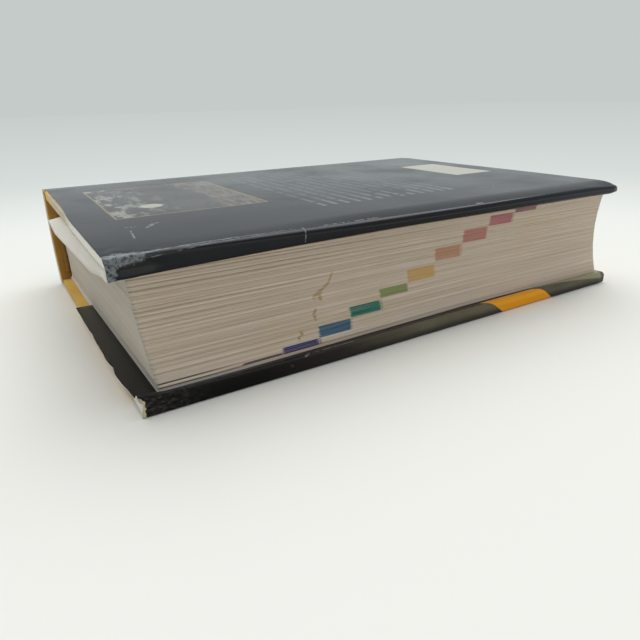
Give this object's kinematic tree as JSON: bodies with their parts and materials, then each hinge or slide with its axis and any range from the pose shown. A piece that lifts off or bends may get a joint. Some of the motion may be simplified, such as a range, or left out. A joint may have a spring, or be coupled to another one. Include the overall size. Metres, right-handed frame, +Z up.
{
  "type": "hardcover book",
  "caption": "Thick case-bound hardback with a rounded spine, hollow fore-edge, hinged boards and a folded paper dust jacket, lying on its front cover.",
  "frame": {"origin": "on the surface that the closed book lies on, under the middle of its bounding box", "axes": "+X from the head of the pages to the tail, +Y from the fore-edge to the spine, +Z up from the front cover to the back cover"},
  "size_m": [0.2166, 0.157, 0.047],
  "materials": {
    "pages": "matte",
    "kraft_lining": "matte",
    "band": "matte",
    "strip_card": "matte",
    "case_covering": "satin",
    "binders_board": "matte",
    "endpaper": "matte",
    "jacket_back_paper": "gloss",
    "jacket_spine_paper": "gloss",
    "jacket_front_paper": "gloss"
  },
  "bodies": {
    "book_block": {"text_block": "pages", "spine_lining": "kraft_lining", "headband": "band", "tailband": "band", "spine_strip": "strip_card", "spine_cloth": "case_covering", "jacket_spine": "jacket_spine_paper"},
    "front_cover": {"front_board": "binders_board", "front_cloth": "case_covering", "front_pastedown": "endpaper", "jacket_front": "jacket_front_paper"},
    "back_cover": {"back_board": "binders_board", "back_cloth": "case_covering", "back_pastedown": "endpaper", "jacket_back": "jacket_back_paper"}
  },
  "joints": [
    {"name": "front_cover_hinge", "type": "hinge", "parent": "book_block", "child": "front_cover", "pos_m": [0, 0.06882, 0], "axis": [1, 0, 0], "range_deg": [0, 178]},
    {"name": "back_cover_hinge", "type": "hinge", "parent": "book_block", "child": "back_cover", "pos_m": [0, 0.06882, 0.047], "axis": [-1, 0, 0], "range_deg": [0, 178]}
  ]
}
